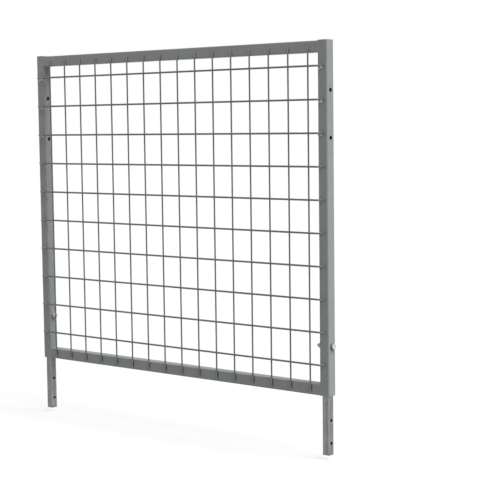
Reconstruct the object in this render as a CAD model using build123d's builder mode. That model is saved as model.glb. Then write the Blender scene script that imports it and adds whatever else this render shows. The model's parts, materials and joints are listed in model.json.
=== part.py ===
from build123d import *
import os
from math import cos, radians, tan

# Wire mesh partition panel. A welded frame of square tube carries a welded wire mesh on its front
# face. Each post holds a smaller tube as a leg, which slides on a slot for levelling and is
# clamped by a bolt through the post. X runs along the panel, Y from the mesh to the back, Z up
# from the legs' feet. All sizes are in millimetres.

# Panel
panel_width = 1262.0
post_length = 1070.0

# Mesh
vertical_diameter = 5.0
horizontal_diameter = 6.0
vertical_pitch = 75.0
horizontal_pitch = 100.0
least_edge_to_vertical = 45.0
top_to_horizontal = 75.0
least_bottom_to_horizontal = 60.0
top_lap = 19.0
bottom_lap = 29.0
side_lap = 23.0

# Frame tubes
tube_size = 35.0
post_wall = 3.0
rail_wall = 2.0
corner_per_wall = 1.5

# Legs
leg_wall = 2.0
leg_play = 2.0
leg_drop = 183.0
leg_insert = 230.0
leg_hole_drop = 76.0
slot_length = 40.0

# Bolt holes
bolt_diameter = 10.0
hole_play = 0.5
bolt_height = 152.0
first_hole_drop = 147.0
hole_spacing = 142.0

# Fasteners
hex_sides = 6
hex_across_flats = 17.0
hex_turn = 30.0
hex_chamfer_angle = 30.0
head_height = 6.4
nut_height = 8.0
thread_end = 8.0
thread_play = 0.05
end_chamfer = 1.0
washer_diameter = 20.0
washer_thickness = 2.0
washer_play = 0.25

# Post caps
cap_flange = 2.0
cap_edge = 0.8
cap_depth = 18.0
cap_wall = 2.0
cap_corner = 1.0
cap_rib_count = 3
cap_rib_pitch = 5.0
cap_rib_thickness = 1.5
cap_rib_height = 0.9
cap_rib_play = 0.1

# Places that follow from the sizes above
vertical_count = int((panel_width - 2 * least_edge_to_vertical) / vertical_pitch) + 1
horizontal_room = post_length - top_to_horizontal - least_bottom_to_horizontal
horizontal_count = int(horizontal_room / horizontal_pitch) + 1
mesh_depth = vertical_diameter + horizontal_diameter
frame_front = mesh_depth - (tube_size + mesh_depth) / 2
frame_y = frame_front + tube_size / 2
vertical_y = frame_front - vertical_diameter / 2
horizontal_y = frame_front - vertical_diameter - horizontal_diameter / 2
post_bottom = leg_drop
post_top = post_bottom + post_length
post_x = panel_width / 2 - tube_size / 2
rail_length = panel_width - 2 * tube_size
rail_bore = tube_size - 2 * rail_wall
post_bore = tube_size - 2 * post_wall
leg_size = post_bore - 2 * leg_play
leg_length = leg_drop + leg_insert
hole_radius = bolt_diameter / 2 + hole_play
bolt_z = post_bottom + bolt_height
first_hole_z = post_top - first_hole_drop
second_hole_z = first_hole_z - hole_spacing
# A leg's lower hole meets the first hole of the post below when panels stand on each other.
leg_hole_heights = [post_bottom - leg_hole_drop, post_bottom - first_hole_drop]
bolt_length = 2 * washer_thickness + tube_size + nut_height + thread_end

sides = {"left": -1, "right": 1}
hex_flat_radius = hex_across_flats / 2
hex_corner_radius = hex_flat_radius / cos(radians(180 / hex_sides))
hex_chamfer_depth = (hex_corner_radius - hex_flat_radius) * tan(radians(hex_chamfer_angle))


def tube_outline(size, wall):
    """Section of a square tube with rounded corners, added to the sketch in progress."""
    corner = corner_per_wall * wall
    RectangleRounded(size, size, corner)
    RectangleRounded(size - 2 * wall, size - 2 * wall, corner - wall, mode=Mode.SUBTRACT)


def bolt_plane(side, height_outside):
    """Plane across a leg bolt's axis, at a distance outside the post's outer face."""
    x = side * (panel_width / 2 + height_outside)
    return Plane(origin=(x, frame_y, bolt_z), x_dir=(0, 1, 0), z_dir=(side, 0, 0))


def chamfer_hexagon(end_plane):
    """Cuts a hexagon's corners back to a cone at the end that the plane's normal leaves by."""
    beside_axis = Plane(end_plane.origin, x_dir=end_plane.x_dir, z_dir=-end_plane.y_dir)
    with BuildSketch(beside_axis) as corner:
        with BuildLine():
            Polyline(
                (hex_flat_radius, 0),
                (hex_corner_radius, 0),
                (hex_corner_radius, -hex_chamfer_depth),
                close=True,
            )
        make_face()
    end_axis = Axis(end_plane.origin, end_plane.z_dir)
    revolve(corner.sketch, axis=end_axis, mode=Mode.SUBTRACT)


def write(piece, name):
    piece.label = name
    export_step(piece, f"parts/{name}.step")


def make_post(side):
    with BuildPart() as post:
        with BuildSketch(Plane.XY.offset(post_bottom)):
            with Locations((side * post_x, frame_y)):
                tube_outline(tube_size, post_wall)
        extrude(amount=post_length)
        # Drilled through both side walls: two joining holes and the leg bolt's hole.
        with BuildSketch(Plane.YZ.offset(side * post_x)):
            with Locations(*[(frame_y, z) for z in (first_hole_z, second_hole_z, bolt_z)]):
                Circle(hole_radius)
        extrude(amount=tube_size, both=True, mode=Mode.SUBTRACT)
    return post.part


def make_rail(center_z):
    """Tube between the posts, which shut its ends, so its bore keeps plain corners."""
    with BuildPart() as rail:
        with BuildSketch(Plane.YZ.offset(-rail_length / 2)):
            with Locations((frame_y, center_z)):
                RectangleRounded(tube_size, tube_size, corner_per_wall * rail_wall)
                Rectangle(rail_bore, rail_bore, mode=Mode.SUBTRACT)
        extrude(amount=rail_length)
    return rail.part


def make_cap(side):
    """Plastic plug: a flange on the post's end and a ribbed hollow stem inside it."""
    rib_size = post_bore - 2 * cap_rib_play
    stem_size = rib_size - 2 * cap_rib_height
    center = (side * post_x, frame_y)
    with BuildPart() as cap:
        with BuildSketch(Plane.XY.offset(post_top)):
            with Locations(center):
                RectangleRounded(tube_size, tube_size, corner_per_wall * post_wall)
        extrude(amount=cap_flange)
        chamfer(cap.faces().sort_by(Axis.Z)[-1].edges(), length=cap_edge)
        with BuildSketch(Plane.XY.offset(post_top)):
            with Locations(center):
                Rectangle(stem_size, stem_size)
        extrude(amount=-cap_depth)
        rib_z = post_top
        for rib in range(cap_rib_count):
            rib_z -= cap_rib_pitch
            with BuildSketch(Plane.XY.offset(rib_z)) as rib_outline:
                with Locations(center):
                    Rectangle(rib_size, rib_size)
                chamfer(rib_outline.vertices(), length=cap_corner)
            extrude(amount=cap_rib_thickness)
        with BuildSketch(Plane.XY.offset(post_top - cap_depth)):
            with Locations(center):
                Rectangle(stem_size - 2 * cap_wall, stem_size - 2 * cap_wall)
        extrude(amount=cap_depth, mode=Mode.SUBTRACT)
    return cap.part


def make_vertical_wire(index):
    x = (index - (vertical_count - 1) / 2) * vertical_pitch
    low = post_bottom + tube_size - bottom_lap
    high = post_top - tube_size + top_lap
    with BuildPart() as wire:
        with BuildSketch(Plane.XY.offset(low)):
            with Locations((x, vertical_y)):
                Circle(vertical_diameter / 2)
        extrude(amount=high - low)
    return wire.part


def make_horizontal_wire(index):
    z = post_top - top_to_horizontal - index * horizontal_pitch
    half_length = rail_length / 2 + side_lap
    with BuildPart() as wire:
        with BuildSketch(Plane.YZ.offset(-half_length)):
            with Locations((horizontal_y, z)):
                Circle(horizontal_diameter / 2)
        extrude(amount=2 * half_length)
    return wire.part


def make_leg(side):
    with BuildPart() as leg:
        with BuildSketch(Plane.XY):
            with Locations((side * post_x, frame_y)):
                tube_outline(leg_size, leg_wall)
        extrude(amount=leg_length)
        # A levelling slot at the clamp bolt, hidden in the post, and two joining holes below.
        with BuildSketch(Plane.YZ.offset(side * post_x)):
            with Locations((frame_y, bolt_z)):
                SlotOverall(slot_length, 2 * hole_radius, rotation=90)
            with Locations(*[(frame_y, z) for z in leg_hole_heights]):
                Circle(hole_radius)
        extrude(amount=leg_size, both=True, mode=Mode.SUBTRACT)
    return leg.part


def make_bolts():
    with BuildPart() as bolts:
        for side in sides.values():
            under_head = bolt_plane(side, washer_thickness)
            with BuildSketch(under_head):
                RegularPolygon(hex_flat_radius, hex_sides, major_radius=False, rotation=hex_turn)
            extrude(amount=head_height)
            chamfer_hexagon(under_head.offset(head_height))
            with BuildSketch(under_head):
                Circle(bolt_diameter / 2)
            extrude(amount=-bolt_length)
            outward = Axis(under_head.origin, under_head.z_dir)
            tip = bolts.faces(Select.LAST).sort_by(outward)[0]
            chamfer(tip.edges(), length=end_chamfer)
    return bolts.part


def make_nuts():
    with BuildPart() as nuts:
        for side in sides.values():
            inner_end = bolt_plane(side, -tube_size - washer_thickness - nut_height)
            outer_end = inner_end.offset(nut_height)
            with BuildSketch(inner_end):
                RegularPolygon(hex_flat_radius, hex_sides, major_radius=False, rotation=hex_turn)
                Circle(bolt_diameter / 2 + thread_play, mode=Mode.SUBTRACT)
            extrude(amount=nut_height)
            chamfer_hexagon(outer_end)
            chamfer_hexagon(Plane(inner_end.origin, x_dir=inner_end.x_dir, z_dir=-inner_end.z_dir))
    return nuts.part


def make_washers():
    with BuildPart() as washers:
        for side in sides.values():
            for height_outside in (0, -tube_size - washer_thickness):
                with BuildSketch(bolt_plane(side, height_outside)):
                    Circle(washer_diameter / 2)
                    Circle(bolt_diameter / 2 + washer_play, mode=Mode.SUBTRACT)
                extrude(amount=washer_thickness)
    return washers.part


os.makedirs("parts", exist_ok=True)

write(make_rail(post_top - tube_size / 2), "top_rail")
write(make_rail(post_bottom + tube_size / 2), "bottom_rail")

for number in range(vertical_count):
    write(make_vertical_wire(number), f"vertical_wire_{number + 1:02d}")

for number in range(horizontal_count):
    write(make_horizontal_wire(number), f"horizontal_wire_{number + 1:02d}")

for side_name, side_sign in sides.items():
    write(make_post(side_sign), f"{side_name}_post")
    write(make_cap(side_sign), f"{side_name}_post_cap")
    write(make_leg(side_sign), f"{side_name}_leg")

write(make_bolts(), "leg_bolts")
write(make_nuts(), "leg_nuts")
write(make_washers(), "bolt_washers")
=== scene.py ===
import json
import math
import random

import bmesh
import bpy
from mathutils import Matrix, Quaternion, Vector


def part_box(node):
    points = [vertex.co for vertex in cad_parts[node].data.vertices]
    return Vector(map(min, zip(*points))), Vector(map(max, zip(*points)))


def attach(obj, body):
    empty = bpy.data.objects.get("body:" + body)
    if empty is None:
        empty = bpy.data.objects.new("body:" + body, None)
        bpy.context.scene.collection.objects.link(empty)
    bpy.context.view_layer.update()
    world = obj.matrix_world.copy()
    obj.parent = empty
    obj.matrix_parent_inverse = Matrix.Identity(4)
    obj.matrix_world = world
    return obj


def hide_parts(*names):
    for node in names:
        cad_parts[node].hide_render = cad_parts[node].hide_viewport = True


# The looks of a wire mesh partition panel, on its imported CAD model. The CAD nodes keep their shapes
# and get materials, and threaded bolts stand in for the plain ones. Welds are pieces of their own.
# Lengths are in metres. X runs along the panel, Y from the mesh to the back, Z up from the feet.
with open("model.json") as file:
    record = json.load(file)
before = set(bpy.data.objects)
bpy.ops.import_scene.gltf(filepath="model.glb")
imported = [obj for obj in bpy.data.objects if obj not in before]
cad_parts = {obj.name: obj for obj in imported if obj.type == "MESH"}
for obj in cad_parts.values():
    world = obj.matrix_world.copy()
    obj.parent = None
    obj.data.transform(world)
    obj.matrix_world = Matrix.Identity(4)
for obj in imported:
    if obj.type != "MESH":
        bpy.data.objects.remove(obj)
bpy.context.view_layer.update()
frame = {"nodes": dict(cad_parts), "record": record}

MM = 0.001
FULL_TURN = 2 * math.pi
RANDOM_SEED = 11

# Colours, linear
PAINT_GREY = (0.270, 0.290, 0.278)
# The wires' darkest tone, which the painted crevice shade reaches
WIRE_DARK_AND_SHADE = (0.020, 0.021, 0.020)
CAP_GREY = (0.225, 0.242, 0.234)
GALVANISED_GREY = (0.245, 0.249, 0.247)
# Zinc's bright tone serves as painted highlight and light, its dull tone partly as painted shade
ZINC_BRIGHT_AND_LIT = (0.5886, 0.59616, 0.594)
ZINC_DULL_AND_SHADED = (0.126, 0.1332, 0.1296)
# Bare steel, darkened as painted shade in the posts' bores and round their holes
BARE_STEEL_AND_SHADE = (0.016, 0.015, 0.014)
DULL_STEEL = (0.190, 0.193, 0.192)
# The wires' cut ends, darkened as painted shade on their lit end faces
CUT_STEEL_AND_SHADE = (0.110, 0.117, 0.113)
OPAQUE = (1.0,)

# Light. Grey surfaces that face the key lamp come out about as bright as they are written. Lamps'
# spreads are in degrees. The floor lies just below the feet at the legs' lowest place.
WORLD_LEVEL = 0.185
FLOOR_BOUNCE = 0.35
FLOOR_SHADE = 0.20
FLOOR_GLOW = 0.80
FLOOR_SIZE = 80.0
FLOOR_DROP = 15 * MM
KEY_DIRECTION = Vector((0.66, 0.0, 0.75))
KEY_STRENGTH = 3.75
KEY_SPREAD = 45.0
FILL_DIRECTION = Vector((-0.62, -0.70, 0.35))
FILL_STRENGTH = 0.28
FILL_SPREAD = 30.0

# Camera at the photograph's viewing angle, with angles in degrees, lens and sensor in millimetres
CAMERA_AIM = Vector((0.3295, -0.012, 0.6148))
CAMERA_DISTANCE = 4.3188
CAMERA_AZIMUTH = 39.124
CAMERA_ELEVATION = 5.194
CAMERA_ROLL = 0.696
CAMERA_LENS = 99.26
CAMERA_SENSOR = 36.0

# In the finishes below, a texture is (scale per metre, detail), a bump is (depth, strength), tints
# are the factors of a colour's darker and lighter tone, and other pairs are (start, end). Noise
# stays mostly within its range here.
NOISE_RANGE = (0.25, 0.75)
RISE = (0.0, 1.0)
FALL = (1.0, 0.0)

# Powder coat
COAT_TINTS = (0.94, 1.06)
COAT_CLOUDS = (7.0, 3.0)
COAT_SPECKS = (55.0, 4.0)
COAT_RANGE = (0.7, 1.3)
COAT_GRAIN = (160.0, 3.0)
COAT_PEEL = (750.0, 1.5)
COAT_BUMP = (0.12 * MM, 0.35)
FRAME_ROUGHNESS = (0.38, 0.50)
WIRE_ROUGHNESS = (0.36, 0.48)

# Bare steel inside the tubes, on the wires' sheared ends and round the posts' joining holes, darkened
# as painted shade in the posts' bores, round their holes and on the wires' lit cut ends. The coat
# gives way to it between two depths below the outer skin, over a share of the colour ramp.
COAT_START = 0.15 * MM
COAT_END = 0.5 * MM
BARE_SHARE = 0.2
POST_CORNER = 4.5 * MM
LEG_CORNER = 3 * MM
RIM_START = 1.0 * MM
RIM_END = 1.4 * MM
RIM_CHIPS = (-0.45 * MM, 0.45 * MM)
RIM_TEXTURE = (420.0, 3.0)

# Wires. Shades go from 0, the darkest tone, to 1, the frame's grey: first the base, then what is
# added where a wire lies on the frame, and the painted shade in the crevices beside the upright
# wires' ends on the rails. The painted shade's spans are heights above a rail's lower edge.
WIRE_SHADES = (0.447, 0.509)
BOTTOM_LAP_SHADE = 0.40
TOP_LAP_SHADE = 0.384
POST_LAP_SHADE = 0.307
LAP_FADE = 3 * MM
BOTTOM_PAINTED_SHADE = -1.0
BOTTOM_PAINTED_SHADE_SPAN = (10.5 * MM, 28.5 * MM)
TOP_PAINTED_SHADE = -0.33
TOP_PAINTED_SHADE_SPAN = (-1 * MM, 11 * MM)
PAINTED_SHADE_DEPTH = 4.2 * MM
PAINTED_SHADE_EDGE = 0.5 * MM
PAINTED_SHADE_FADE = 5 * MM

# Galvanised legs. Lines and streaks have their scales across and along the tube.
LEG_METALLIC = 0.6
LEG_TINTS = (0.72, 1.22)
LEG_ROUGHNESS = (0.36, 0.56)
LEG_RANGE = (0.72, 1.18)
SPANGLE_SCALE = 130.0
SPANGLE_WEIGHT = 0.3
LEG_CLOUDS = (22.0, 4.0)
CLOUD_WEIGHT = 0.5
LINE_SCALES = (900.0, 14.0)
LINE_WEIGHT = 0.2
STREAK_SCALES = (190.0, 3.0)
STREAK_WEIGHT = 0.9
LINE_TEXTURE = (1.0, 2.0)
LINE_BUMP = (0.05 * MM, 0.3)
# Rounded corners lightened: rubbed zinc and a painted highlight
CORNER_WEAR_AND_HIGHLIGHT = 0.5
CORNER_FADE = 1 / 6
# The leg gets darker towards its bottom over this span of Z
FOOT_DARKENING = (1.5 * MM, 6 * MM)

# Zinc plate. Its pale tone is a painted highlight on the heads' ends and painted light at the nuts;
# its dull tone stands in partly for painted shade on the flats.
ZINC_METALLIC = 0.2
ZINC_ROUGHNESS = (0.36, 0.50)
ZINC_CLOUDS = (180.0, 3.0)
ZINC_CLOUD_WEIGHT = 0.3
ZINC_GRAIN = (500.0, 2.0)
ZINC_PITS = (1400.0, 2.0)
ZINC_BUMP = (0.04 * MM, 0.25)
RUBBED_AND_HIGHLIT_SHADE = 0.8
RUBBED_AND_LIT_DEPTH = 1.6 * MM
CLEAN_AND_LIT_SHADE = 0.65

# Plastic caps
CAP_TINTS = (0.95, 1.05)
CAP_ROUGHNESS = (0.46, 0.58)
CAP_CLOUDS = (90.0, 3.0)
CAP_GLOSS = (400.0, 2.0)
CAP_GRAIN = (2200.0, 1.0)
CAP_BUMP = (0.05 * MM, 0.4)

# Coat over the weld beads, which is thinner and glossier higher up the panel, and paler there as a
# painted highlight
WELD_METALLIC = 0.35
WELD_TINTS = (0.98, 2.0)
WELD_ROUGHNESS = (0.80, 0.22)
WELD_RANGE = (0.1, 0.6)
WELD_PATCHES = (260.0, 3.0)
WELD_GRAIN = (900.0, 2.0)
WELD_BUMP = (0.12 * MM, 0.3)
THIN_AND_HIGHLIT_WEIGHTS = (0.1, 1.3)
THIN_AND_HIGHLIT_HEIGHTS = (0.80, 1.12)

# Welds on the wires. A stretch is the range of a random factor, a jitter the largest random shift.
BLOB_LUMPINESS = 0.12
BLOB_RINGS = 5
BLOB_SEGMENTS = 12
NUGGET_RADIUS = 2.7 * MM
NUGGET_DEPTH = 1.2 * MM
NUGGET_STRETCH = (0.9, 1.08)
RAIL_SPOT_LENGTH = 6 * MM
RAIL_SPOT_WIDTH = 5.2 * MM
RAIL_SPOT_DEPTH = 1.8 * MM
RAIL_SPOT_STRETCH = (0.85, 1.15)
RAIL_SPOT_JITTER = 1 * MM

# Weld beads. A section is (half width, height, depth below the surface). The upper level wires'
# beads hang under the wire, and the others are hidden behind it.
BEAD_PITCH = 2.2 * MM
BEAD_RIPPLE = 0.10
BEAD_LAG = 3.5
BEAD_WANDER = 0.3
BEAD_BLUNTNESS = 5
BEAD_SEGMENTS = 12
STEPS_PER_RIPPLE = 5
LEAST_BEAD_STEPS = 8
BEAD_LENGTH = 15 * MM
BEAD_STRETCH = (0.85, 1.1)
BEAD_JITTER = 1.2 * MM
BEAD_OUTWARD = Vector((0, -0.8, -0.6))
HANGING_COUNT = 3
HANGING_DROP = 3.6 * MM
HANGING_SECTION = (4.37 * MM, 3.8 * MM, 3.8 * MM)
HIDDEN_RISE = 2.2 * MM
HIDDEN_SECTION = (3.335 * MM, 2.9 * MM, 2.9 * MM)
FILLET_INSET = 3 * MM
FILLET_SECTION = (3.2 * MM, 2.24 * MM, 2.24 * MM)
SEAM_SECTION = (3.4 * MM, 0.14 * MM, 3.2 * MM)
SEAM_OFFSET = 2.0 * MM
SEAM_RIPPLE = 0.06
SEAM_BLUNTNESS = 14

# Bolts, M10 coarse. A head's crown is a share of its flats' radius, and its dish one of the crown.
BOLT_RADIUS = 5 * MM
BOLT_LENGTH = 55 * MM
BOLT_SEGMENTS = 48
THREAD_PITCH = 1.5 * MM
THREAD_DEPTH = 0.85 * MM
THREAD_LENGTH = 26 * MM
THREAD_STEPS = 6
TIP_TAPER = 1.1 * MM
HEX_STEP = FULL_TURN / 6
HEAD_CHAMFER = math.tan(math.radians(30))
HEAD_CROWN = 0.95
DISH_RIM = 0.7
DISH_FLOOR = 0.55
DISH_DEPTH = 0.3 * MM
SHARP_ANGLE = math.radians(18)

rng = random.Random(RANDOM_SEED)
nodes = frame["nodes"]
vertical_wires = sorted(name for name in nodes if name.startswith("vertical_wire"))
horizontal_wires = sorted(name for name in nodes if name.startswith("horizontal_wire"))


def middle(node):
    low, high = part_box(node)
    return (low + high) / 2


def half_width(node):
    low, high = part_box(node)
    return (high.x - low.x) / 2


# Places that the finishes follow
POST_AXIS = middle("right_post")
POST_HALF = half_width("right_post")
POST_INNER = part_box("right_post")[0].x
LEG_HALF = half_width("right_leg")
HEAD_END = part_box("leg_bolts")[1].x
WIRE_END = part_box("horizontal_wire_01")[1].x
BOTTOM_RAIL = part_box("bottom_rail")
TOP_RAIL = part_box("top_rail")
MOUNTS = {mount["name"]: mount for mount in frame["record"]["mounts"]}
POST_HOLES = MOUNTS["right_post_holes"]


# Shader nodes


def add_node(tree, kind, inputs, **settings):
    """Adds a node, with each input linked to a socket or set to a value."""
    made = tree.nodes.new(kind)
    for key, value in settings.items():
        setattr(made, key, value)
    for key, value in inputs.items():
        if isinstance(value, bpy.types.NodeSocket):
            tree.links.new(value, made.inputs[key])
        else:
            made.inputs[key].default_value = value
    return made


def combine(tree, operation, first, second=0.0):
    """Applies a Math node's operation to one value or two."""
    inputs = {0: first, 1: second}
    return add_node(tree, "ShaderNodeMath", inputs, operation=operation).outputs["Value"]


def total(tree, values):
    result = 0.0
    for value in values:
        result = combine(tree, "ADD", result, value)
    return result


def weighted(tree, value, weight):
    return combine(tree, "MULTIPLY", value, weight)


def diagonal(tree, first, second):
    """Length of the line over two distances at right angles."""
    squares = [combine(tree, "POWER", value, 2.0) for value in (first, second)]
    return combine(tree, "SQRT", total(tree, squares))


def spread(tree, value, to_range, from_range=NOISE_RANGE):
    """Maps a value from one range to another, and keeps to the ends for values outside it."""
    inputs = {
        "Value": value,
        "From Min": from_range[0],
        "From Max": from_range[1],
        "To Min": to_range[0],
        "To Max": to_range[1],
    }
    return add_node(tree, "ShaderNodeMapRange", inputs).outputs["Result"]


def noise(tree, coordinates, texture):
    scale, detail = texture
    inputs = {"Vector": coordinates, "Scale": scale, "Detail": detail}
    return add_node(tree, "ShaderNodeTexNoise", inputs).outputs["Fac"]


def upright_lines(tree, coordinates, scales):
    """Noise drawn out into upright lines."""
    across, along = scales
    inputs = {"Vector": coordinates, "Scale": (across, across, along)}
    stretched = add_node(tree, "ShaderNodeMapping", inputs).outputs["Vector"]
    return noise(tree, stretched, LINE_TEXTURE)


def axes_of(tree, coordinates):
    return add_node(tree, "ShaderNodeSeparateXYZ", {"Vector": coordinates}).outputs


def from_middle(tree, coordinates):
    """Distance along the panel from its middle, so that both ends look alike."""
    return combine(tree, "ABSOLUTE", axes_of(tree, coordinates)["X"])


def tones(colour, tints):
    """A colour's darker and lighter tone."""
    return [tuple(channel * tint for channel in colour) for tint in tints]


def colour_ramp(tree, value, stops):
    """Blends colours by a value, where each has a place and the first and last are at 0 and 1."""
    ramp = add_node(tree, "ShaderNodeValToRGB", {"Fac": value})
    elements = ramp.color_ramp.elements
    for place, colour in stops[1:-1]:
        elements.new(place)
    for element, (place, colour) in zip(elements, stops):
        element.color = colour + OPAQUE
    return ramp.outputs["Color"]


def between(tree, value, dark, light):
    """Blends two tones by a value from 0 to 1."""
    return colour_ramp(tree, value, [(0.0, dark), (1.0, light)])


def between_or_bare_and_shade(tree, value, dark, light, bare_and_shade, bare_and_shade_colour):
    """Blends two tones by a value, and shows bare steel, in places darkened as painted shade, where
    another value is 1.
    """
    finished = spread(tree, value, (BARE_SHARE, 1.0), RISE)
    kept = combine(tree, "MULTIPLY", finished, spread(tree, bare_and_shade, FALL, RISE))
    return colour_ramp(tree, kept, [(0.0, bare_and_shade_colour), (BARE_SHARE, dark), (1.0, light)])


# Places on the surfaces


def past_flats(tree, coordinates, half_size, corner):
    """How far a point is past the flats of a tube on a post's axis, along and across the panel."""
    along = from_middle(tree, coordinates)
    across = axes_of(tree, coordinates)["Y"]
    distances = []
    for value, axis in ((along, POST_AXIS.x), (across, POST_AXIS.y)):
        off_axis = combine(tree, "ABSOLUTE", combine(tree, "SUBTRACT", value, axis))
        distances.append(combine(tree, "SUBTRACT", off_axis, half_size - corner))
    return distances


def inside_tube(tree, coordinates, half_size, corner):
    """One behind the outer skin of a round-cornered tube on a post's axis, and zero on the skin."""
    past = past_flats(tree, coordinates, half_size, corner)
    out = diagonal(tree, *[combine(tree, "MAXIMUM", value, 0.0) for value in past])
    return spread(tree, out, FALL, (corner - COAT_END, corner - COAT_START))


def rubbed_and_highlit_corner(tree, coordinates, half_size, corner):
    """One on the rounded corners of a tube on a post's axis, where rubbing and a painted highlight
    lighten them, and zero on its flats.
    """
    within = combine(tree, "MINIMUM", *past_flats(tree, coordinates, half_size, corner))
    fade = corner * CORNER_FADE
    return spread(tree, within, RISE, (-fade, fade))


def worn_and_shaded_rim(tree, coordinates):
    """One round a post's joining holes, where the coat has chipped off and painted shade widens the
    dark holes, and zero away from them.
    """
    hole_radius = POST_HOLES["dims"]["hole_r_mm"] * MM
    half_spacing = POST_HOLES["dims"]["spacing_y_mm"] / 2 * MM
    hole_y, holes_z = POST_HOLES["pos_m"][1:]
    axes = axes_of(tree, coordinates)
    across = combine(tree, "SUBTRACT", axes["Y"], hole_y)
    off_middle = combine(tree, "ABSOLUTE", combine(tree, "SUBTRACT", axes["Z"], holes_z))
    up = combine(tree, "SUBTRACT", off_middle, half_spacing)
    chips = spread(tree, noise(tree, coordinates, RIM_TEXTURE), RIM_CHIPS)
    reach = combine(tree, "ADD", diagonal(tree, across, up), chips)
    return spread(tree, reach, FALL, (hole_radius + RIM_START, hole_radius + RIM_END))


def cut_end(tree, coordinates):
    """One on the sheared ends of the level wires, where little coat holds and the steel is darkened
    as painted shade on their lit faces.
    """
    reach = from_middle(tree, coordinates)
    return spread(tree, reach, RISE, (WIRE_END - COAT_END, WIRE_END - COAT_START))


def painted_crevice_shade(tree, axes, rail, span, shade):
    """Painted shade in the crevice where the upright wires' ends meet a rail, over a span of Z."""
    low, high = (rail[0].z + height for height in span)
    front = rail[0].y - PAINTED_SHADE_DEPTH
    lower = spread(tree, axes["Z"], (0.0, shade), (low, low + PAINTED_SHADE_FADE))
    upper = spread(tree, axes["Z"], FALL, (high, high + PAINTED_SHADE_FADE))
    sunk = spread(tree, axes["Y"], RISE, (front, front + PAINTED_SHADE_EDGE))
    return combine(tree, "MULTIPLY", combine(tree, "MULTIPLY", lower, upper), sunk)


# Materials


def new_material(name, metallic=0.0):
    """A node material, its tree, its shader and the object coordinates that its textures use."""
    material = bpy.data.materials.new(name)
    material.use_nodes = True
    tree = material.node_tree
    shader = tree.nodes["Principled BSDF"]
    shader.inputs["Metallic"].default_value = metallic
    coordinates = tree.nodes.new("ShaderNodeTexCoord").outputs["Object"]
    return material, tree, shader, coordinates


def set_surface(tree, shader, tone, roughness, height, bump):
    """Gives a shader its colour, its roughness and a bump from a texture's height."""
    depth, strength = bump
    inputs = {"Height": height, "Distance": depth, "Strength": strength}
    normal = add_node(tree, "ShaderNodeBump", inputs).outputs["Normal"]
    for socket, value in (("Base Color", tone), ("Roughness", roughness), ("Normal", normal)):
        tree.links.new(value, shader.inputs[socket])


def set_coat(tree, shader, coordinates, tone, roughness):
    """The satin skin of powder coat, with orange peel at about a millimetre."""
    gloss = spread(tree, noise(tree, coordinates, COAT_GRAIN), roughness)
    set_surface(tree, shader, tone, gloss, noise(tree, coordinates, COAT_PEEL), COAT_BUMP)


def coat_patches(tree, coordinates, limits):
    """Thin and thick patches of powder coat, as a value between two limits."""
    textures = [noise(tree, coordinates, texture) for texture in (COAT_CLOUDS, COAT_SPECKS)]
    return spread(tree, total(tree, textures), limits, COAT_RANGE)


def frame_coat():
    """Grey powder coat on the tubes, with bare steel inside them and on their holes' worn rims,
    darkened as painted shade.
    """
    material, tree, shader, coordinates = new_material("frame_paint")
    patches = coat_patches(tree, coordinates, RISE)
    inside = inside_tube(tree, coordinates, POST_HALF, POST_CORNER)
    # Bare steel in the bores and round the holes, darkened as painted shade
    bare_and_shade = combine(tree, "MAXIMUM", inside, worn_and_shaded_rim(tree, coordinates))
    dark, light = tones(PAINT_GREY, COAT_TINTS)
    tone = between_or_bare_and_shade(tree, patches, dark, light, bare_and_shade, BARE_STEEL_AND_SHADE)
    set_coat(tree, shader, coordinates, tone, FRAME_ROUGHNESS)
    return material


def wire_coat():
    """Darker coat on the wires, paler where they lie on the frame, with painted shade beside their
    ends.
    """
    material, tree, shader, coordinates = new_material("mesh_paint")
    axes = axes_of(tree, coordinates)
    reach = from_middle(tree, coordinates)
    rail_top, rail_bottom = BOTTOM_RAIL[1].z, TOP_RAIL[0].z
    shades = (
        coat_patches(tree, coordinates, WIRE_SHADES),
        spread(tree, axes["Z"], (BOTTOM_LAP_SHADE, 0.0), (rail_top - LAP_FADE, rail_top)),
        spread(tree, axes["Z"], (0.0, TOP_LAP_SHADE), (rail_bottom, rail_bottom + LAP_FADE)),
        spread(tree, reach, (0.0, POST_LAP_SHADE), (POST_INNER, POST_INNER + LAP_FADE)),
        # Painted shade in the crevices beside the upright wires' ends on the rails
        painted_crevice_shade(tree, axes, BOTTOM_RAIL, BOTTOM_PAINTED_SHADE_SPAN, BOTTOM_PAINTED_SHADE),
        painted_crevice_shade(tree, axes, TOP_RAIL, TOP_PAINTED_SHADE_SPAN, TOP_PAINTED_SHADE),
    )
    cut = cut_end(tree, coordinates)
    tone = between_or_bare_and_shade(tree, total(tree, shades), WIRE_DARK_AND_SHADE, PAINT_GREY, cut, CUT_STEEL_AND_SHADE)
    set_coat(tree, shader, coordinates, tone, WIRE_ROUGHNESS)
    return material


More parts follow.
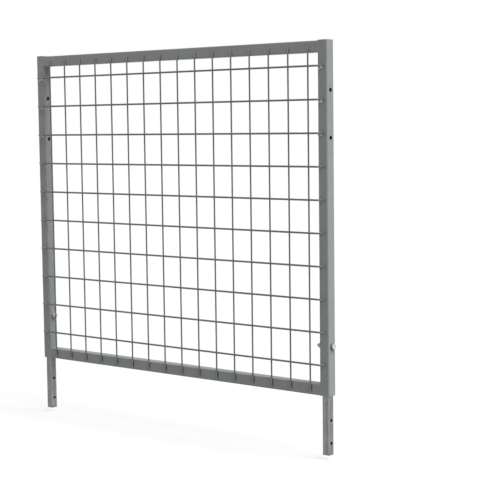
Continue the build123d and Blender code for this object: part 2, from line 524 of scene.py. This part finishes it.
def galvanised_steel():
    """Dull zinc with spangle, drawn lines, streaks, clouds, rubbed corners that carry a painted
    highlight, and darker towards the foot.
    """
    material, tree, shader, coordinates = new_material("galvanised_steel", LEG_METALLIC)
    cells = add_node(tree, "ShaderNodeTexVoronoi", {"Vector": coordinates, "Scale": SPANGLE_SCALE})
    channels = add_node(tree, "ShaderNodeSeparateColor", {"Color": cells.outputs["Color"]}).outputs
    spangle = channels["Red"]
    lines = upright_lines(tree, coordinates, LINE_SCALES)
    mottle = (
        weighted(tree, spangle, SPANGLE_WEIGHT),
        weighted(tree, noise(tree, coordinates, LEG_CLOUDS), CLOUD_WEIGHT),
        weighted(tree, lines, LINE_WEIGHT),
        weighted(tree, upright_lines(tree, coordinates, STREAK_SCALES), STREAK_WEIGHT),
    )
    shade = spread(tree, total(tree, mottle), RISE, LEG_RANGE)
    rubbed_and_highlit = rubbed_and_highlit_corner(tree, coordinates, LEG_HALF, LEG_CORNER)
    # Rounded corners lightened: rubbed zinc and a painted highlight
    shade = combine(tree, "ADD", shade, weighted(tree, rubbed_and_highlit, CORNER_WEAR_AND_HIGHLIGHT))
    # Darker towards the bottom of the foot
    foot = spread(tree, axes_of(tree, coordinates)["Z"], RISE, FOOT_DARKENING)
    shade = combine(tree, "MULTIPLY", shade, foot)
    inside = inside_tube(tree, coordinates, LEG_HALF, LEG_CORNER)
    dark, light = tones(GALVANISED_GREY, LEG_TINTS)
    tone = between_or_bare_and_shade(tree, shade, dark, light, inside, DULL_STEEL)
    set_surface(tree, shader, tone, spread(tree, spangle, LEG_ROUGHNESS, RISE), lines, LINE_BUMP)
    return material


def zinc_plate():
    """Zinc plate, cloudy: pale on the heads' rubbed ends with a painted highlight, pale at the
    cleaner nuts with painted light, else dull and partly darkened as painted shade.
    """
    material, tree, shader, coordinates = new_material("zinc_plate", ZINC_METALLIC)
    reach = from_middle(tree, coordinates)
    rubbed_and_highlit_span = (HEAD_END - RUBBED_AND_LIT_DEPTH, HEAD_END - RUBBED_AND_LIT_DEPTH / 2)
    # The heads' pale ends carry a painted highlight, the nuts' pale side painted light, and the dull
    # rest partly painted shade
    shades = (
        spread(tree, reach, (0.0, RUBBED_AND_HIGHLIT_SHADE), rubbed_and_highlit_span),
        weighted(tree, noise(tree, coordinates, ZINC_CLOUDS), ZINC_CLOUD_WEIGHT),
        spread(tree, reach, (CLEAN_AND_LIT_SHADE, 0.0), (POST_INNER - RUBBED_AND_LIT_DEPTH, POST_INNER)),
    )
    tone = between(tree, total(tree, shades), ZINC_DULL_AND_SHADED, ZINC_BRIGHT_AND_LIT)
    roughness = spread(tree, noise(tree, coordinates, ZINC_GRAIN), ZINC_ROUGHNESS)
    set_surface(tree, shader, tone, roughness, noise(tree, coordinates, ZINC_PITS), ZINC_BUMP)
    return material


def moulded_plastic():
    """Grey plug with a fine spark-eroded grain."""
    material, tree, shader, coordinates = new_material("moulded_plastic")
    tone = between(tree, noise(tree, coordinates, CAP_CLOUDS), *tones(CAP_GREY, CAP_TINTS))
    roughness = spread(tree, noise(tree, coordinates, CAP_GLOSS), CAP_ROUGHNESS)
    set_surface(tree, shader, tone, roughness, noise(tree, coordinates, CAP_GRAIN), CAP_BUMP)
    return material


def coated_weld():
    """Powder coat over a weld: thinner and glossier the higher the bead, and paler there as a painted
    highlight.
    """
    material, tree, shader, coordinates = new_material("coated_weld", WELD_METALLIC)
    thin_and_highlit = spread(tree, axes_of(tree, coordinates)["Z"], THIN_AND_HIGHLIT_WEIGHTS, THIN_AND_HIGHLIT_HEIGHTS)
    # Higher beads paler, as a painted highlight, and glossier
    patches = weighted(tree, noise(tree, coordinates, WELD_PATCHES), thin_and_highlit)
    tone = between(tree, patches, *tones(PAINT_GREY, WELD_TINTS))
    roughness = spread(tree, patches, WELD_ROUGHNESS, WELD_RANGE)
    set_surface(tree, shader, tone, roughness, noise(tree, coordinates, WELD_GRAIN), WELD_BUMP)
    return material


finishes = {
    "frame_paint": frame_coat(),
    "mesh_paint": wire_coat(),
    "leg_zinc": galvanised_steel(),
    "fastener_zinc": zinc_plate(),
    "cap_plastic": moulded_plastic(),
}
weld_coat = coated_weld()
for subpart in frame["record"]["subparts"]:
    shown = nodes[subpart["node"]]
    shown.data.materials.clear()
    shown.data.materials.append(finishes[subpart["material_slot"]])


# Pieces


def add_object(name, data):
    made = bpy.data.objects.new(name, data)
    bpy.context.scene.collection.objects.link(made)
    return made


def finish_piece(name, bm, material, sharp_angle=None):
    """Makes a smooth piece of the panel from a mesh in place, with sharp edges over an angle."""
    bmesh.ops.recalc_face_normals(bm, faces=bm.faces)
    mesh = bpy.data.meshes.new(name)
    bm.to_mesh(mesh)
    bm.free()
    for polygon in mesh.polygons:
        polygon.use_smooth = True
    if sharp_angle is not None:
        mesh.set_sharp_from_angle(angle=sharp_angle)
    mesh.materials.append(material)
    piece = add_object(name, mesh)
    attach(piece, "panel")
    return piece


def angles_round(count):
    return [FULL_TURN * i / count for i in range(count)]


def close_rings(bm, rings, first_pole, last_pole):
    """Joins rings of points into one closed skin with a point at each end."""
    skin = [[bm.verts.new(point) for point in ring] for ring in rings]
    count = len(skin[0])
    for near, far in zip(skin, skin[1:]):
        for i in range(count):
            j = (i + 1) % count
            bm.faces.new((near[i], near[j], far[j], far[i]))
    for ring, pole in ((skin[0], first_pole), (skin[-1], last_pole)):
        tip = bm.verts.new(pole)
        for i in range(count):
            bm.faces.new((ring[i], ring[(i + 1) % count], tip))


def add_blob(bm, centre, half_sizes):
    """A drop of fused metal, flattened along Y, with lumps in twos and threes round it."""
    # Three draws, of which two are used, keep the later ones in step.
    phases = [rng.uniform(0, FULL_TURN) for draw in range(3)]
    rings = []
    for number in range(1, BLOB_RINGS + 1):
        height = -math.cos(math.pi * number / (BLOB_RINGS + 1))
        reach = math.sqrt(1 - height * height)
        ring = []
        for angle in angles_round(BLOB_SEGMENTS):
            lump = math.sin(2 * angle + phases[0]) + math.sin(3 * angle + phases[1] + 2 * height)
            around = reach * (1 + BLOB_LUMPINESS * lump / 2)
            offset = Vector((around * math.cos(angle), height, around * math.sin(angle)))
            ring.append(centre + offset * half_sizes)
        rings.append(ring)
    depth = Vector((0, half_sizes.y, 0))
    close_rings(bm, rings, centre - depth, centre + depth)


def add_bead(bm, start, end, outward, section, ripple=BEAD_RIPPLE, bluntness=BEAD_BLUNTNESS):
    """A weld bead of a section between two points, with crescent ripples and rounded ends."""
    across, proud, sunk = section
    along = (end - start).normalized()
    side = along.cross(outward)
    length = (end - start).length
    steps = max(LEAST_BEAD_STEPS, round(length / BEAD_PITCH) * STEPS_PER_RIPPLE)
    phase = rng.uniform(0, FULL_TURN)
    rings = []
    for step in range(1, steps):
        place = step / steps
        taper = (1 - abs(2 * place - 1) ** bluntness) ** 0.5
        wave = 1 + ripple * math.cos(FULL_TURN * place * length / BEAD_PITCH + phase)
        wander = 1 + ripple * rng.uniform(-BEAD_WANDER, BEAD_WANDER)
        middle_point = start + along * (place * length)
        ring = []
        for angle in angles_round(BEAD_SEGMENTS):
            height = math.sin(angle) * (proud if math.sin(angle) > 0 else sunk)
            offset = side * (across * math.cos(angle)) + outward * height
            lag = along * (-BEAD_LAG * ripple * BEAD_PITCH * math.cos(angle) ** 2)
            ring.append(middle_point + offset * (taper * wave * wander) + lag * taper)
        rings.append(ring)
    close_rings(bm, rings, start, end)


def make_crossing_welds():
    """Resistance welds: the flash squeezed out where each pair of wires was pressed together."""
    bm = bmesh.new()
    for vertical in vertical_wires:
        for horizontal in horizontal_wires:
            behind, front = middle(vertical), middle(horizontal)
            centre = Vector((behind.x, (behind.y + front.y) / 2, front.z))
            size = NUGGET_RADIUS * rng.uniform(*NUGGET_STRETCH)
            add_blob(bm, centre, Vector((size, NUGGET_DEPTH, size)))
    finish_piece("mesh_crossing_welds", bm, finishes["mesh_paint"])


def make_rail_spots():
    """Spot welds that hold the upright wires' ends on the rails' front faces."""
    bm = bmesh.new()
    for rail in ("top_rail", "bottom_rail"):
        rail_low, rail_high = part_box(rail)
        for wire in vertical_wires:
            wire_low, wire_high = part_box(wire)
            lap_low = max(wire_low.z, rail_low.z)
            lap_high = min(wire_high.z, rail_high.z)
            z = (lap_low + lap_high) / 2 + rng.uniform(-RAIL_SPOT_JITTER, RAIL_SPOT_JITTER)
            length = RAIL_SPOT_LENGTH * rng.uniform(*RAIL_SPOT_STRETCH)
            half_sizes = Vector((RAIL_SPOT_WIDTH / 2, RAIL_SPOT_DEPTH, length / 2))
            add_blob(bm, Vector((middle(wire).x, rail_low.y, z)), half_sizes)
    finish_piece("wire_rail_welds", bm, finishes["mesh_paint"])


def make_post_beads():
    """Weld beads that bridge the gap between the level wires' ends and the posts' front faces."""
    bm = bmesh.new()
    for post, side in (("left_post", -1), ("right_post", 1)):
        post_low, post_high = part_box(post)
        inner_edge = post_low.x if side > 0 else post_high.x
        for number, wire in enumerate(horizontal_wires):
            wire_low, wire_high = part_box(wire)
            wire_end = wire_high.x if side > 0 else wire_low.x
            x = (inner_edge + wire_end) / 2 + rng.uniform(-BEAD_JITTER, BEAD_JITTER)
            y = (post_low.y + wire_high.y) / 2
            if number < HANGING_COUNT:
                z, section = wire_low.z - HANGING_DROP, HANGING_SECTION
            else:
                z, section = wire_low.z + HIDDEN_RISE, HIDDEN_SECTION
            centre = Vector((x, y, z))
            reach = Vector((BEAD_LENGTH / 2, 0, 0)) * rng.uniform(*BEAD_STRETCH)
            add_bead(bm, centre - reach, centre + reach, BEAD_OUTWARD, section)
    finish_piece("wire_post_beads", bm, weld_coat)


def make_frame_welds():
    """Fillets in the frame's inner corners and ground seams on its front and back faces."""
    bm = bmesh.new()
    for rail, inner_up in (("top_rail", -1), ("bottom_rail", 1)):
        low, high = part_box(rail)
        inner_z = low.z if inner_up < 0 else high.z
        for x, inward in ((low.x, 1), (high.x, -1)):
            outward = Vector((inward, 0, inner_up)).normalized()
            near = Vector((x, low.y + FILLET_INSET, inner_z))
            far = Vector((x, high.y - FILLET_INSET, inner_z))
            add_bead(bm, near, far, outward, FILLET_SECTION)
            seam_x = x - inward * SEAM_OFFSET
            for y, facing in ((low.y, -1), (high.y, 1)):
                bottom = Vector((seam_x, y, low.z))
                top = Vector((seam_x, y, high.z))
                normal = Vector((0, facing, 0))
                add_bead(bm, bottom, top, normal, SEAM_SECTION, SEAM_RIPPLE, SEAM_BLUNTNESS)
    finish_piece("frame_corner_welds", bm, finishes["frame_paint"])


def bolt_outline(angle, flat_radius, head_height):
    """A hex bolt's outline at an angle: (height above the seat, radius) from head to tip."""
    crown = flat_radius * HEAD_CROWN
    hexagon = flat_radius / math.cos((angle + HEX_STEP / 2) % HEX_STEP - HEX_STEP / 2)
    thread_start = THREAD_LENGTH - BOLT_LENGTH
    outline = [
        (head_height - DISH_DEPTH, crown * DISH_FLOOR),
        (head_height, crown * DISH_RIM),
        (head_height, crown),
        (head_height - (hexagon - crown) * HEAD_CHAMFER, hexagon),
        (0.0, hexagon),
        (0.0, BOLT_RADIUS),
        (thread_start, BOLT_RADIUS),
    ]
    steps = round(THREAD_LENGTH / THREAD_PITCH * THREAD_STEPS)
    for step in range(1, steps + 1):
        depth = THREAD_DEPTH * min(1.0, step / THREAD_STEPS)
        phase = (step / THREAD_STEPS + angle / FULL_TURN) % 1
        groove = depth * (1 - abs(2 * phase - 1))
        taper = TIP_TAPER * max(0.0, 1 - (steps - step) / THREAD_STEPS)
        height = thread_start - step * THREAD_LENGTH / steps
        outline.append((height, BOLT_RADIUS - max(groove, taper)))
    return outline


def make_bolts():
    """Hex bolts with rolled threads, in place of the CAD node's plain shanks."""
    low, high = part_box("leg_bolts")
    centre = (low + high) / 2
    flat_radius = (high.y - low.y) / 2
    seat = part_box("bolt_washers")[1].x
    head_height = high.x - seat
    bm = bmesh.new()
    for side in (-1, 1):
        lines = []
        for angle in angles_round(BOLT_SEGMENTS):
            line = []
            for height, radius in bolt_outline(angle, flat_radius, head_height):
                y = centre.y + radius * math.cos(angle)
                z = centre.z + radius * math.sin(angle)
                line.append((side * (seat + height), y, z))
            lines.append(line)
        dish = (side * (seat + head_height - DISH_DEPTH), centre.y, centre.z)
        tip = (side * (seat - BOLT_LENGTH), centre.y, centre.z)
        close_rings(bm, zip(*lines), dish, tip)
    zinc = finishes["fastener_zinc"]
    bolts = finish_piece("threaded_leg_bolts", bm, zinc, SHARP_ANGLE)
    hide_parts("leg_bolts")


make_crossing_welds()
make_rail_spots()
make_post_beads()
make_frame_welds()
make_bolts()


# Stage


def grey(level):
    return (level, level, level) + OPAQUE


def seen_directly(tree):
    """One for rays from the camera, off gloss or through glass, and zero for those that light."""
    path = tree.nodes.new("ShaderNodeLightPath").outputs
    direct = combine(tree, "MAXIMUM", path["Is Camera Ray"], path["Is Glossy Ray"])
    return combine(tree, "MAXIMUM", direct, path["Is Transmission Ray"])


def make_world():
    """A white background that lights the object only a little."""
    world = bpy.data.worlds.new("studio")
    world.use_nodes = True
    tree = world.node_tree
    background = tree.nodes["Background"]
    background.inputs["Color"].default_value = grey(1.0)
    strength = spread(tree, seen_directly(tree), (WORLD_LEVEL, 1.0), RISE)
    tree.links.new(strength, background.inputs["Strength"])
    bpy.context.scene.world = world


def make_floor():
    """A pale floor that shows white, with the object's shadow on it, and bounces a little light."""
    half = FLOOR_SIZE / 2
    outline = ((-half, -half), (half, -half), (half, half), (-half, half))
    mesh = bpy.data.meshes.new("floor")
    mesh.from_pydata([(x, y, -FLOOR_DROP) for x, y in outline], [], [(0, 1, 2, 3)])
    floor = add_object("floor", mesh)
    material = bpy.data.materials.new("floor")
    material.use_nodes = True
    mesh.materials.append(material)
    tree = material.node_tree
    tree.nodes.clear()
    bounce = add_node(tree, "ShaderNodeBsdfDiffuse", {"Color": grey(FLOOR_BOUNCE)})
    shade = add_node(tree, "ShaderNodeBsdfDiffuse", {"Color": grey(FLOOR_SHADE)})
    glow = add_node(tree, "ShaderNodeEmission", {"Strength": FLOOR_GLOW})
    both = {0: shade.outputs["BSDF"], 1: glow.outputs["Emission"]}
    seen = add_node(tree, "ShaderNodeAddShader", both)
    either = {0: seen_directly(tree), 1: bounce.outputs["BSDF"], 2: seen.outputs["Shader"]}
    choice = add_node(tree, "ShaderNodeMixShader", either)
    add_node(tree, "ShaderNodeOutputMaterial", {"Surface": choice.outputs["Shader"]})


def make_lamp(name, towards, strength, spread_degrees):
    """A distant soft lamp that lights the object and the whole floor evenly."""
    data = bpy.data.lights.new(name, "SUN")
    data.energy = strength
    data.angle = math.radians(spread_degrees)
    lamp = add_object(name, data)
    lamp.rotation_mode = "QUATERNION"
    lamp.rotation_quaternion = (-towards).to_track_quat("-Z", "Y")


def make_camera():
    azimuth, elevation = math.radians(CAMERA_AZIMUTH), math.radians(CAMERA_ELEVATION)
    level = math.cos(elevation)
    back = Vector((math.sin(azimuth) * level, -math.cos(azimuth) * level, math.sin(elevation)))
    data = bpy.data.cameras.new("camera")
    data.sensor_width = CAMERA_SENSOR
    data.lens = CAMERA_LENS
    camera = add_object("camera", data)
    camera.location = CAMERA_AIM + back * CAMERA_DISTANCE
    camera.rotation_mode = "QUATERNION"
    roll = Quaternion((0, 0, 1), -math.radians(CAMERA_ROLL))
    camera.rotation_quaternion = (-back).to_track_quat("-Z", "Y") @ roll
    bpy.context.scene.camera = camera


make_world()
make_floor()
make_lamp("key", KEY_DIRECTION, KEY_STRENGTH, KEY_SPREAD)
make_lamp("fill", FILL_DIRECTION, FILL_STRENGTH, FILL_SPREAD)
make_camera()
bpy.context.scene.view_settings.view_transform = "Standard"
